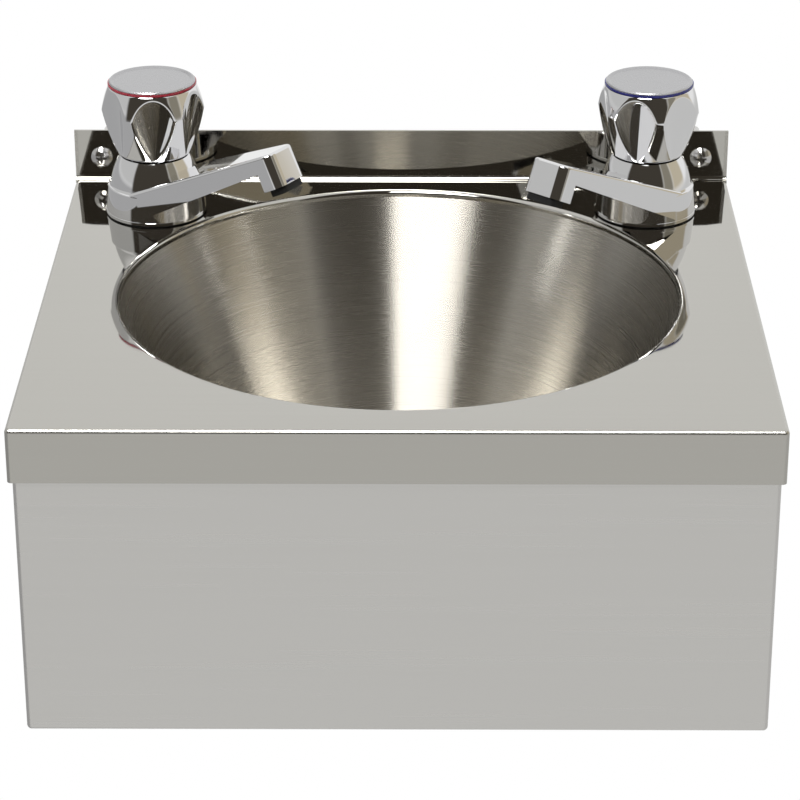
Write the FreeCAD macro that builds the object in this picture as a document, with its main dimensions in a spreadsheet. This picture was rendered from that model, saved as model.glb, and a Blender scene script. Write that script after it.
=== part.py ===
import FreeCAD
import Part
import math
import os
import re

import Sketcher
from FreeCAD import Placement, Rotation, Vector

# Wall-hung stainless hand wash sink with two pillar taps.
# Millimetres and degrees. +X is to the user's right, +Y goes into the wall, +Z is up.
# The origin is on the wall plane, halfway between the two wall screws.
# Heights named ..._height on a tap are above the deck; the deck lies screw_rise below the origin.

# Driving dimensions: name, value, meaning.
SIZES = [
    ("width", 305.0, "overall width across the side lips"),
    ("depth", 276.0, "wall plane to the front lip's face"),
    ("sheet", 1.2, "thickness of the deck and skirt sheets"),
    ("bend_radius", 2.0, "outside radius of every fold"),
    ("lip_height", 23.2, "deck top to the lip's lower edge"),
    ("upstand_height", 24.0, "deck top to the upstand's top edge"),
    ("fold_radius", 2.0, "inside radius at the foot of the upstand"),
    ("screw_inset", 12.5, "wall screw's axis to the upstand's end"),
    ("screw_rise", 11.0, "wall screws above the deck top"),
    ("screw_hole_clearance", 0.4, "gap round a wall screw in the upstand"),
    ("screw_shank_radius", 2.4, "wall screw's threaded shank"),
    ("screw_neck_radius", 2.1, "plain neck between the head and the thread"),
    ("screw_shank_length", 38.0, "wall screw length behind the wall plane"),
    ("screw_head_radius", 5.0, "dome head radius"),
    ("screw_head_edge", 0.6, "straight edge of the dome head"),
    ("screw_head_dome", 2.3, "dome above that edge"),
    ("recess_length", 5.2, "length of each arm of the cross recess"),
    ("recess_width", 1.1, "width of each arm of the cross recess"),
    ("recess_depth", 1.8, "depth of the cross recess"),
    ("skirt_drop", 136.3, "deck top to the skirt's lower edge"),
    ("skirt_gap", 0.6, "gap between the lip and the skirt inside it"),
    ("skirt_top_flange", 9.0, "width of the skirt's flange under the deck"),
    ("skirt_bottom_return", 14.0, "width of the skirt's bottom return"),
    ("skirt_rear_return", 18.0, "width of the skirt's returns on the wall"),
    ("bowl_shift", 2.0, "bowl's centre behind the middle of the deck"),
    ("rim_radius", 121.7, "radius at which the flat deck ends"),
    ("rim_roll", 2.0, "outside radius of the rolled rim"),
    ("rim_collar", 1.0, "straight part of the rolled rim"),
    ("bowl_wall", 1.0, "thickness of the bowl"),
    ("bowl_depth", 118.0, "deck top to the bowl's floor"),
    ("bowl_taper", 24.0, "lean of the bowl's side from upright"),
    ("bowl_corner", 38.0, "inside radius between side and floor"),
    ("sump_radius", 33.0, "radius of the recess for the waste"),
    ("sump_drop", 4.0, "depth of the recess for the waste"),
    ("waste_thread_radius", 20.95, "1 1/4 inch pipe thread"),
    ("waste_hole_clearance", 0.5, "gap round the waste in the bowl's hole"),
    ("waste_bore", 17.0, "inside radius of the waste"),
    ("waste_tail_length", 50.0, "waste below its flange"),
    ("waste_flange_radius", 31.0, "waste flange"),
    ("waste_flange_thickness", 2.5, "waste flange"),
    ("waste_top_seal_thickness", 1.5, "seal over the bowl's floor"),
    ("waste_lower_seal_thickness", 3.0, "seal under the bowl's floor"),
    ("waste_seal_radius", 29.5, "outer radius of both waste seals"),
    ("waste_nut_radius", 30.0, "waste back nut across corners, halved"),
    ("waste_nut_thickness", 8.0, "waste back nut"),
    ("grid_hole_radius", 3.1, "each hole of the waste grid"),
    ("grid_pitch_radius", 11.0, "circle of the grid holes"),
    ("grid_hole_count", 8, "holes on that circle"),
    ("thread_clearance", 0.05, "radial gap of a thread in its nut"),
    ("relief_depth", 0.5, "groove in a tail's thread under its nut"),
    ("relief_length", 1.2, "groove in a tail's thread under its nut"),
    ("running_clearance", 0.05, "radial gap of a turning fit"),
    ("tap_rim_gap", 24.8, "bowl's rim to a tap's axis"),
    ("tap_bearing", 40.38, "direction of a tap from the bowl's centre, back from sideways"),
    ("tap_hole_clearance", 0.52, "gap round a tap's tail in the deck"),
    ("hot_spout_turn", 31.5, "hot spout turned forward of sideways"),
    ("cold_spout_turn", 47.9, "cold spout turned forward of sideways"),
    ("hot_handle_turn", 5.0, "hot handle's front scallop, right of straight ahead"),
    ("cold_handle_turn", -20.0, "cold handle's front scallop, right of straight ahead"),
    ("base_seal_thickness", 0.7, "seal between tap and deck"),
    ("base_seal_radius", 21.8, "outer radius of that seal"),
    ("tail_radius", 10.48, "1/2 inch pipe thread of the tap's tail"),
    ("tail_bore", 6.5, "inside radius of the tap's tail"),
    ("tail_length", 50.0, "tap tail below the deck top"),
    ("flange_radius", 22.8, "tap base"),
    ("flange_height", 6.5, "deck top to the top of the base"),
    ("bell_foot_radius", 22.4, "foot of the bell-shaped body"),
    ("bell_arc", 40.0, "radius of the bell's outline"),
    ("collar_radius", 15.6, "top of the bell"),
    ("collar_height", 27.8, "top of the bell"),
    ("cup_radius", 14.4, "cup that takes the headwork's hexagon"),
    ("cup_floor_height", 22.6, "bottom of that cup"),
    ("headwork_thread", 10.2, "headwork's thread radius in the body"),
    ("chamber_floor_height", 2.5, "floor of the valve chamber"),
    ("seat_height", 4.0, "top of the valve seat"),
    ("seat_radius", 7.2, "outer radius of the valve seat"),
    ("seat_bore", 5.0, "hole in the valve seat"),
    ("spout_width", 18.0, "spout across"),
    ("spout_root_reach", 6.0, "start of the spout inside the bell"),
    ("spout_root_top", 16.8, "height of its upper edge there"),
    ("spout_root_under", 3.0, "height of its lower edge there"),
    ("spout_tip_reach", 69.4, "upper outer corner of the nozzle"),
    ("spout_tip_height", 43.2, "upper outer corner of the nozzle"),
    ("crook_reach", 64.2, "inner corner between spout and nozzle"),
    ("crook_height", 33.0, "inner corner between spout and nozzle"),
    ("outlet_reach", 72.0, "middle of the nozzle's rim"),
    ("outlet_height", 27.4, "middle of the nozzle's rim"),
    ("nozzle_tilt", 26.0, "nozzle's lean from upright"),
    ("nozzle_thickness", 9.1, "nozzle along the spout"),
    ("spout_root_radius", 7.0, "blend between the spout and the bell"),
    ("spout_edge_radius", 1.6, "rounding of the spout's long edges"),
    ("nozzle_edge_radius", 2.4, "rounding of the nozzle's outer edges"),
    ("waterway_width", 8.0, "passage through the spout, across"),
    ("waterway_half", 2.2, "passage through the spout, half its height"),
    ("nozzle_bore_width", 13.6, "socket in the nozzle, across the spout"),
    ("nozzle_bore_half", 2.9, "socket in the nozzle, half along the spout"),
    ("nozzle_bore_depth", 9.0, "depth of the socket"),
    ("insert_proud", 3.2, "insert below the nozzle's rim"),
    ("insert_lip", 0.9, "insert's face inside the nozzle's outline"),
    ("insert_seated", 5.0, "insert's length inside the socket"),
    ("insert_clearance", 0.1, "gap round the insert in its socket"),
    ("insert_hole", 1.7, "half size of the insert's way through"),
    ("washer_brim_radius", 18.5, "top-hat washer's brim"),
    ("washer_brim_thickness", 2.0, "top-hat washer's brim"),
    ("washer_crown_radius", 14.5, "top-hat washer's crown"),
    ("washer_crown_height", 9.0, "top-hat washer's whole height"),
    ("nut_flats", 27.0, "tap back nut across flats"),
    ("nut_thickness", 6.0, "tap back nut"),
    ("bonnet_washer_thickness", 0.7, "washer under the headwork"),
    ("bonnet_foot_height", 13.6, "lower end of the headwork"),
    ("bonnet_flats", 23.0, "headwork's hexagon across flats"),
    ("bonnet_hex_height", 29.0, "top of that hexagon"),
    ("bonnet_neck_radius", 9.5, "headwork above the hexagon"),
    ("bonnet_top_height", 41.0, "top of the headwork"),
    ("thread_bore", 6.0, "headwork's threaded bore"),
    ("thread_bore_height", 30.0, "top of that bore"),
    ("shaft_radius", 4.5, "spindle's plain shaft"),
    ("gland_radius", 7.0, "gland chamber in the headwork"),
    ("gland_floor_height", 37.0, "bottom of the gland chamber"),
    ("gland_seal_height", 2.4, "height of the spindle seal"),
    ("gland_head_radius", 8.4, "gland nut's head"),
    ("gland_head_height", 43.4, "top of the gland nut"),
    ("spindle_foot_height", 9.3, "lower end of the spindle"),
    ("spindle_step_height", 24.5, "top of the spindle's threaded part"),
    ("shaft_top_height", 46.0, "top of the spindle's plain shaft"),
    ("spline_radius", 3.8, "spindle's splined end"),
    ("spline_top_height", 55.0, "top of the spindle"),
    ("jumper_bore", 3.0, "spindle's bore for the jumper"),
    ("jumper_bore_height", 20.5, "top of that bore"),
    ("jumper_plate_radius", 7.6, "jumper's plate"),
    ("jumper_plate_thickness", 2.3, "jumper's plate"),
    ("jumper_stem_height", 19.0, "top of the jumper's stem"),
    ("jumper_peg_radius", 1.5, "peg that holds the seat washer"),
    ("seat_gap", 0.1, "seat washer above the seat when shut"),
    ("seat_washer_radius", 7.4, "seat washer"),
    ("seat_washer_thickness", 2.6, "seat washer"),
    ("washer_nut_radius", 3.2, "nut under the seat washer"),
    ("washer_nut_thickness", 1.5, "nut under the seat washer"),
    ("handle_foot_height", 29.0, "lower edge of the handle"),
    ("handle_foot_radius", 16.75, "lower edge of the handle"),
    ("handle_belly_height", 49.5, "widest part of the handle"),
    ("handle_belly_radius", 23.1, "widest part of the handle"),
    ("handle_top_radius", 19.6, "upper edge of the handle"),
    ("handle_lower_arc", 100.0, "radius of the outline below the belly"),
    ("handle_upper_arc", 45.0, "radius of the outline above the belly"),
    ("handle_hollow_radius", 14.0, "hollow over the headwork"),
    ("handle_hollow_height", 46.2, "roof of that hollow"),
    ("web_over_spindle", 1.0, "handle's web, which the screw clamps, above the spindle's end"),
    ("handle_well_radius", 13.6, "well under the top disc"),
    ("handle_well_depth", 5.0, "depth of that well"),
    ("scallop_count", 6, "scallops round the handle"),
    ("scallop_foot_height", 28.2, "lower point of a scallop"),
    ("scallop_foot_radius", 16.5, "scallop's distance from the axis there"),
    ("scallop_top_height", 59.6, "top of a scallop"),
    ("scallop_top_radius", 20.3, "scallop's distance from the axis there"),
    ("scallop_spread", 46.0, "half the opening angle of the cone that cuts a scallop"),
    ("scallop_overrun", 1.2, "length of the cutting cone over the scallop's own height"),
    ("ring_radius", 19.95, "coloured ring"),
    ("ring_thickness", 0.8, "coloured ring"),
    ("disc_radius", 19.5, "top disc"),
    ("disc_thickness", 1.0, "top disc's edge"),
    ("disc_dish", 0.5, "hollow in the top disc"),
    ("disc_rim", 2.4, "width of the raised rim round that hollow"),
    ("disc_spigot_depth", 2.4, "disc's spigot in the well"),
    ("spigot_clearance", 0.1, "gap round the spigot"),
    ("handle_screw_radius", 2.0, "screw through the handle"),
    ("handle_screw_bore", 9.0, "depth of the spindle's hole for the handle screw"),
    ("handle_screw_reach", 8.0, "screw inside that hole"),
    ("handle_screw_head_radius", 3.8, "head of that screw"),
    ("handle_screw_head_height", 2.2, "head of that screw"),
]

doc = FreeCAD.newDocument("hand_wash_sink")
sheet = doc.addObject("Spreadsheet::Sheet", "sizes")
for row, (alias, amount, meaning) in enumerate(SIZES, start=1):
    sheet.set("A%d" % row, alias)
    sheet.set("B%d" % row, str(amount))
    sheet.set("C%d" % row, meaning)
    sheet.setAlias("B%d" % row, alias)
doc.recompute()

ALIASES = set(alias for alias, amount, meaning in SIZES)
TINY = 1e-4
parts = []


def linked(formula):
    """The formula with each size named through the spreadsheet."""
    def link(word):
        name = word.group(0)
        return "sizes." + name if name in ALIASES else name
    return re.sub(r"[A-Za-z_][A-Za-z_0-9]*", link, formula)


def value(formula):
    """What a formula of sizes comes to now."""
    return float(sheet.evalExpression(linked(formula)))


def bind(thing, path, formula):
    """Ties a property to a formula of sizes."""
    thing.setExpression(path, linked(formula))


def new_body(name):
    """An empty body that will be written out under its name."""
    body = doc.addObject("PartDesign::Body", name)
    body.Label = name
    parts.append(body)
    return body


def origin_feature(body, role):
    """One of the body's own origin planes or axes."""
    return [item for item in body.Origin.OriginFeatures if item.Role == role][0]


def new_sketch(body, plane, label, lift="0"):
    """A sketch on one of the body's origin planes, lifted along the plane's normal."""
    sketch = body.newObject("Sketcher::SketchObject", label)
    sketch.AttachmentSupport = [(origin_feature(body, plane), "")]
    sketch.MapMode = "FlatFace"
    if lift != "0":
        bind(sketch, "AttachmentOffset.Base.z", lift)
    return sketch


def pin_point(sketch, edge, end, across, along):
    """Holds one end of an edge at a place given by two formulas."""
    if across == "0":
        sketch.addConstraint(Sketcher.Constraint("PointOnObject", edge, end, -2))
    else:
        item = Sketcher.Constraint("DistanceX", -1, 1, edge, end, value(across))
        index = sketch.addConstraint(item)
        bind(sketch, "Constraints[%d]" % index, across)
    if along == "0":
        sketch.addConstraint(Sketcher.Constraint("PointOnObject", edge, end, -1))
    else:
        item = Sketcher.Constraint("DistanceY", -1, 1, edge, end, value(along))
        index = sketch.addConstraint(item)
        bind(sketch, "Constraints[%d]" % index, along)


def arc_between(start, end, radius, side):
    """Short arc from start to end, with its centre on the left (side 1) or right (side -1)."""
    chord = end - start
    middle = (start + end) * 0.5
    across = Vector(-chord.y, chord.x, 0).normalize() * side
    rise = math.sqrt(max(radius ** 2 - (chord.Length / 2) ** 2, 0))
    centre = middle + across * rise
    circle = Part.Circle(centre, Vector(0, 0, 1), radius)
    start_angle = math.atan2(start.y - centre.y, start.x - centre.x)
    end_angle = math.atan2(end.y - centre.y, end.x - centre.x)
    if side < 0:
        start_angle, end_angle = end_angle, start_angle
    if end_angle < start_angle:
        end_angle += 2 * math.pi
    return Part.ArcOfCircle(circle, start_angle, end_angle)


def outline(body, plane, label, corners, lift="0"):
    """A closed sketch. A corner is (across, along), and (across, along, radius, side) starts an arc."""
    sketch = new_sketch(body, plane, label, lift)
    places = [Vector(value(corner[0]), value(corner[1]), 0) for corner in corners]
    ends = []
    for index, corner in enumerate(corners):
        start = places[index]
        end = places[(index + 1) % len(corners)]
        if len(corner) == 4:
            side = corner[3]
            sketch.addGeometry(arc_between(start, end, value(corner[2]), side), False)
            ends.append((1, 2) if side > 0 else (2, 1))
        else:
            sketch.addGeometry(Part.LineSegment(start, end), False)
            ends.append((1, 2))
    for index, corner in enumerate(corners):
        after = (index + 1) % len(corners)
        joint = Sketcher.Constraint("Coincident", index, ends[index][1], after, ends[after][0])
        sketch.addConstraint(joint)
    for index, corner in enumerate(corners):
        pin_point(sketch, index, ends[index][0], corner[0], corner[1])
        if len(corner) == 4:
            item = Sketcher.Constraint("Radius", index, value(corner[2]))
            number = sketch.addConstraint(item)
            bind(sketch, "Constraints[%d]" % number, corner[2])
    return sketch


def circles(body, plane, label, rounds, lift="0"):
    """A sketch of circles, each (across, along, radius)."""
    sketch = new_sketch(body, plane, label, lift)
    for index, (across, along, radius) in enumerate(rounds):
        centre = Vector(value(across), value(along), 0)
        sketch.addGeometry(Part.Circle(centre, Vector(0, 0, 1), value(radius)), False)
        pin_point(sketch, index, 3, across, along)
        number = sketch.addConstraint(Sketcher.Constraint("Radius", index, value(radius)))
        bind(sketch, "Constraints[%d]" % number, radius)
    return sketch


def rectangle(left, right, low, high):
    """Corners of a rectangle from four formulas."""
    return [(left, low), (right, low), (right, high), (left, high)]


def hexagon(flats):
    """Corners of a hexagon with its flats at a given distance across."""
    reach = "(%s) / 2 / cos(30)" % flats
    return [("%s * cos(%d)" % (reach, turn), "%s * sin(%d)" % (reach, turn))
            for turn in (15, 75, 135, 195, 255, 315)]


def pad(body, sketch, label, length, side="One side", reverse=False):
    """Extrudes a sketch into material."""
    feature = body.newObject("PartDesign::Pad", label)
    feature.Profile = sketch
    feature.SideType = side
    feature.Reversed = reverse
    bind(feature, "Length", length)
    return feature


def pocket(body, sketch, label, length, side="One side", reverse=False):
    """Cuts a sketch out of the body, and makes sure that it does cut."""
    doc.recompute()
    before = body.Shape.Volume
    feature = body.newObject("PartDesign::Pocket", label)
    feature.Profile = sketch
    feature.SideType = side
    feature.Reversed = reverse
    bind(feature, "Length", length)
    doc.recompute()
    if body.Shape.Volume > before - TINY:
        raise RuntimeError(label + " cuts nothing")
    return feature


def turn(body, sketch, label, kind="PartDesign::Revolution"):
    """Turns a sketch right round its upright axis, as material or as a cut."""
    feature = body.newObject(kind, label)
    feature.Profile = sketch
    feature.ReferenceAxis = (sketch, ["V_Axis"])
    feature.Angle = 360
    return feature


def turned(name, corners):
    """A body turned from one outline of (radius, height) corners."""
    body = new_body(name)
    turn(body, outline(body, "XZ_Plane", name + "_outline", corners), name + "_turn")
    return body


def polar_copies(body, feature, label, count):
    """Repeats a feature round the body's upright axis."""
    pattern = body.newObject("PartDesign::PolarPattern", label)
    pattern.Originals = [feature]
    pattern.Axis = (origin_feature(body, "Z_Axis"), [""])
    pattern.Angle = 360
    bind(pattern, "Occurrences", count)
    body.Tip = pattern
    return pattern


def round_edges(body, feature, label, radius, wanted):
    """Rounds those edges of a feature that a test picks out."""
    doc.recompute()
    names = ["Edge%d" % (index + 1)
             for index, edge in enumerate(feature.Shape.Edges) if wanted(edge)]
    if not names:
        raise RuntimeError(label + " finds no edge")
    fillet = body.newObject("PartDesign::Fillet", label)
    fillet.Base = (feature, names)
    bind(fillet, "Radius", radius)
    return fillet


def near(first, second):
    """Whether two lengths are the same to a hundredth."""
    return abs(first - second) < 0.01


def place(body, across="0", out="0", up="0", turn_angle="0"):
    """Puts a body at a place and turns it about the vertical."""
    body.Placement = Placement(Vector(0, 0, 0), Rotation(Vector(0, 0, 1), 1))
    bind(body, "Placement.Base.x", across)
    bind(body, "Placement.Base.y", out)
    bind(body, "Placement.Base.z", up)
    bind(body, "Placement.Rotation.Angle", turn_angle)


# The deck, bowl and waste are laid out from the bowl's axis at the deck's top.
BOWL_TO_WALL = "(depth / 2 - bowl_shift)"
BOWL_TO_FRONT = "(depth / 2 + bowl_shift)"
TAP_ACROSS = "(rim_radius + tap_rim_gap) * cos(tap_bearing)"
TAP_BEHIND = "(rim_radius + tap_rim_gap) * sin(tap_bearing)"


def make_deck():
    """Folded deck, laid out from the bowl's axis: top, front and side lips, upstand, rolled rim."""
    body = new_body("deck")
    back = BOWL_TO_WALL + " - sheet - fold_radius"
    plate = outline(body, "XY_Plane", "deck_plate",
                    rectangle("-width / 2", "width / 2", "-" + BOWL_TO_FRONT, back))
    block = pad(body, plate, "deck_block", "lip_height", reverse=True)

    def outer_fold(edge):
        centre = edge.CenterOfMass
        top = near(centre.z, 0) and not near(centre.y, value(back))
        upright = edge.BoundBox.ZLength > value("lip_height") / 2
        return top or (upright and near(centre.y, -value(BOWL_TO_FRONT)))

    folds = round_edges(body, block, "deck_folds", "bend_radius", outer_fold)
    doc.recompute()
    open_faces = []
    for index, face in enumerate(folds.Shape.Faces):
        centre = face.CenterOfMass
        if near(centre.z, -value("lip_height")) or near(centre.y, value(back)):
            open_faces.append("Face%d" % (index + 1))
    shell = body.newObject("PartDesign::Thickness", "deck_shell")
    shell.Base = (folds, open_faces)
    bind(shell, "Value", "sheet")
    shell.Reversed = True

    upstand = outline(body, "YZ_Plane", "upstand_profile", [
        (back, "-sheet", "fold_radius + sheet", 1),
        (BOWL_TO_WALL, "fold_radius"),
        (BOWL_TO_WALL, "upstand_height"),
        (BOWL_TO_WALL + " - sheet", "upstand_height"),
        (BOWL_TO_WALL + " - sheet", "fold_radius", "fold_radius", -1),
        (back, "0"),
    ])
    pad(body, upstand, "upstand", "width", side="Symmetric")

    opening = circles(body, "XY_Plane", "bowl_opening", [("0", "0", "rim_radius")])
    pocket(body, opening, "bowl_opening_cut", "sheet + bend_radius")
    rim = outline(body, "XZ_Plane", "rim_profile", [
        ("rim_radius", "0", "rim_roll", 1),
        ("rim_radius - rim_roll", "-rim_roll"),
        ("rim_radius - rim_roll", "-rim_roll - rim_collar"),
        ("rim_radius - rim_roll + sheet", "-rim_roll - rim_collar"),
        ("rim_radius - rim_roll + sheet", "-rim_roll", "rim_roll - sheet", -1),
        ("rim_radius", "-sheet"),
    ])
    turn(body, rim, "rim")

    tap_holes = circles(body, "XY_Plane", "tap_holes", [
        ("-" + TAP_ACROSS, TAP_BEHIND, "tail_radius + tap_hole_clearance"),
        (TAP_ACROSS, TAP_BEHIND, "tail_radius + tap_hole_clearance"),
    ])
    pocket(body, tap_holes, "tap_holes_cut", "2 * sheet", side="Symmetric")
    screw_holes = circles(body, "XZ_Plane", "screw_holes", [
        ("screw_inset - width / 2", "screw_rise", "screw_shank_radius + screw_hole_clearance"),
        ("width / 2 - screw_inset", "screw_rise", "screw_shank_radius + screw_hole_clearance"),
    ], lift="-" + BOWL_TO_WALL)
    pocket(body, screw_holes, "screw_holes_cut", "4 * sheet", side="Symmetric")
    place(body, out="-" + BOWL_TO_WALL, up="-screw_rise")


def make_bowl():
    """Spun bowl, butt-welded under the rolled rim: leaning side, round corner, floor and recess.

    The corner is bowl_corner, or less where the floor would get narrower than the recess.
    """
    top = "(-rim_roll - rim_collar)"
    top_radius = "(rim_radius - rim_roll)"
    sharp_radius = "(%s - (%s + bowl_depth) * tan(bowl_taper))" % (top_radius, top)
    widest_corner = "(%s - sump_radius - 3 * bowl_wall) / tan(45 - bowl_taper / 2)" % sharp_radius
    corner = "min(bowl_corner; %s)" % widest_corner
    foot = "(-bowl_depth + %s * (1 - sin(bowl_taper)))" % corner
    foot_radius = "(%s - (%s - %s) * tan(bowl_taper))" % (top_radius, top, foot)
    floor_radius = "(%s - %s * cos(bowl_taper))" % (foot_radius, corner)
    outer_foot = "(%s - bowl_wall * sin(bowl_taper))" % foot
    outer_foot_radius = "(%s + bowl_wall * cos(bowl_taper))" % foot_radius
    sump_floor = "(-bowl_depth - sump_drop)"
    turned("bowl", [
        (top_radius, top),
        (foot_radius, foot, corner, -1),
        (floor_radius, "-bowl_depth"),
        ("sump_radius + bowl_wall", "-bowl_depth"),
        ("sump_radius", sump_floor),
        ("waste_thread_radius + waste_hole_clearance", sump_floor),
        ("waste_thread_radius + waste_hole_clearance", sump_floor + " - bowl_wall"),
        ("sump_radius + bowl_wall", sump_floor + " - bowl_wall"),
        ("sump_radius + 2 * bowl_wall", "-bowl_depth - bowl_wall"),
        (floor_radius, "-bowl_depth - bowl_wall", corner + " + bowl_wall", 1),
        (outer_foot_radius, outer_foot),
        (top_radius + " + bowl_wall / cos(bowl_taper)", top),
    ])
    place(parts[-1], out="-" + BOWL_TO_WALL, up="-screw_rise")


def make_skirt():
    """Folded skirt inside the lips: front and sides, with flanges at top, bottom and wall."""
    body = new_body("skirt")
    half = "(width / 2 - sheet - skirt_gap)"
    front = "(-depth + sheet + skirt_gap)"
    tall = "(skirt_drop - sheet)"
    outer = outline(body, "XY_Plane", "skirt_outline", rectangle("-" + half, half, front, "0"))
    block = pad(body, outer, "skirt_block", tall, reverse=True)

    def outer_fold(edge):
        centre = edge.CenterOfMass
        upright = edge.BoundBox.ZLength > value(tall) / 2 and near(centre.y, value(front))
        level = near(centre.z, 0) or near(centre.z, -value(tall))
        return upright or (level and not near(centre.y, 0))

    round_edges(body, block, "skirt_folds", "bend_radius", outer_fold)
    inner = outline(body, "XY_Plane", "skirt_inside",
                    rectangle("-%s + sheet" % half, half + " - sheet", front + " + sheet", "-sheet"),
                    lift="-sheet")
    pocket(body, inner, "skirt_inside_cut", tall + " - 2 * sheet")
    top = outline(body, "XY_Plane", "skirt_top_opening",
                  rectangle("-%s + skirt_top_flange" % half, half + " - skirt_top_flange",
                            front + " + skirt_top_flange", "-sheet"))
    pocket(body, top, "skirt_top_cut", "sheet")
    bottom = outline(body, "XY_Plane", "skirt_bottom_opening",
                     rectangle("-%s + skirt_bottom_return" % half,
                               half + " - skirt_bottom_return",
                               front + " + skirt_bottom_return", "sheet"),
                     lift="sheet - " + tall)
    pocket(body, bottom, "skirt_bottom_cut", "sheet")
    rear = outline(body, "XZ_Plane", "skirt_rear_opening",
                   rectangle("-%s + skirt_rear_return" % half, half + " - skirt_rear_return",
                             "-" + tall, "0"))
    pocket(body, rear, "skirt_rear_cut", "4 * sheet", side="Symmetric")
    place(body, up="-screw_rise - sheet")


def make_wall_screws():
    """Two dome-head cross-recess screws through the upstand into the wall."""
    body = new_body("wall_screws")
    body.AllowCompound = True
    dome_radius = "((screw_head_radius ^ 2 + screw_head_dome ^ 2) / 2 / screw_head_dome)"
    crown = "(-sheet - screw_head_edge - screw_head_dome)"
    profile = outline(body, "XY_Plane", "screw_outline", [
        ("0", crown, dome_radius, 1),
        ("screw_head_radius", "-sheet - screw_head_edge"),
        ("screw_head_radius", "-sheet"),
        ("screw_neck_radius", "-sheet"),
        ("screw_neck_radius", "0"),
        ("screw_shank_radius", "0"),
        ("screw_shank_radius", "screw_shank_length - screw_shank_radius"),
        ("0", "screw_shank_length"),
    ])
    turn(body, profile, "screw")
    for label, across, along in (("recess_across", "recess_length", "recess_width"),
                                 ("recess_upright", "recess_width", "recess_length")):
        slot = outline(body, "XZ_Plane", label,
                       rectangle("-%s / 2" % across, across + " / 2",
                                 "-%s / 2" % along, along + " / 2"),
                       lift="-" + crown)
        pocket(body, slot, label + "_cut", "recess_depth")
    pattern = body.newObject("PartDesign::LinearPattern", "screw_pair")
    pattern.Originals = []
    pattern.TransformMode = "Whole shape"
    pattern.Direction = (origin_feature(body, "X_Axis"), [""])
    bind(pattern, "Length", "width - 2 * screw_inset")
    pattern.Occurrences = 2
    body.Tip = pattern
    place(body, across="screw_inset - width / 2")


def make_waste():
    """Flanged grid waste through the bowl's recess, with its seals and back nut."""
    floor = "(-bowl_depth - sump_drop)"
    under = "(-bowl_depth - sump_drop - bowl_wall)"
    flange = "(-bowl_depth - sump_drop + waste_top_seal_thickness)"
    nut_top = under + " - waste_lower_seal_thickness"
    nut_foot = nut_top + " - waste_nut_thickness"
    gap = "waste_thread_radius + thread_clearance"

    waste = turned("waste_body", [
        ("0", flange),
        ("waste_bore", flange),
        ("waste_bore", flange + " - waste_tail_length"),
    ] + relieved_thread("waste_thread_radius", flange + " - waste_tail_length", nut_foot) + [
        ("waste_thread_radius", flange),
        ("waste_flange_radius", flange),
        ("waste_flange_radius", flange + " + waste_flange_thickness / 2"),
        ("waste_flange_radius - waste_flange_thickness / 2", flange + " + waste_flange_thickness"),
        ("0", flange + " + waste_flange_thickness"),
    ])
    middle = circles(waste, "XY_Plane", "grid_middle", [("0", "0", "grid_hole_radius")],
                     lift=flange + " + waste_flange_thickness")
    pocket(waste, middle, "grid_middle_cut", "waste_flange_thickness")
    hole = circles(waste, "XY_Plane", "grid_hole", [("grid_pitch_radius", "0", "grid_hole_radius")],
                   lift=flange + " + waste_flange_thickness")
    cut = pocket(waste, hole, "grid_hole_cut", "waste_flange_thickness")
    polar_copies(waste, cut, "grid_holes", "grid_hole_count")

    turned("waste_top_seal", rectangle(gap, "waste_seal_radius", floor, flange))
    turned("waste_lower_seal", rectangle(gap, "waste_seal_radius", nut_top, under))
    nut = new_body("waste_nut")
    plan = outline(nut, "XY_Plane", "waste_nut_plan",
                   hexagon("waste_nut_radius * 2 * cos(30)"), lift=nut_top)
    pad(nut, plan, "waste_nut_block", "waste_nut_thickness", reverse=True)
    thread = circles(nut, "XY_Plane", "waste_nut_thread", [("0", "0", gap)], lift=nut_top)
    pocket(nut, thread, "waste_nut_cut", "waste_nut_thickness")
    for body in parts[-4:]:
        place(body, out="-" + BOWL_TO_WALL, up="-screw_rise")


# The pieces of one tap are laid out from its axis at the deck's top, with the spout along +X.
NOZZLE_OUT = "cos(nozzle_tilt)"
NOZZLE_UP = "sin(nozzle_tilt)"


def relieved_thread(radius, end, nut_foot):
    """Outline of a tail's thread from its end up to its nut, with the groove under the nut."""
    return [
        (radius, end),
        (radius, nut_foot + " - relief_length"),
        (radius + " - relief_depth", nut_foot + " - relief_length"),
        (radius + " - relief_depth", nut_foot),
        (radius, nut_foot),
    ]


def nozzle_point(along, below):
    """A point given along the nozzle's rim from its middle, and below the rim on the nozzle's axis."""
    return ("outlet_reach + (%s) * %s + (%s) * %s" % (along, NOZZLE_OUT, below, NOZZLE_UP),
            "outlet_height + (%s) * %s - (%s) * %s" % (along, NOZZLE_UP, below, NOZZLE_OUT))


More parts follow.
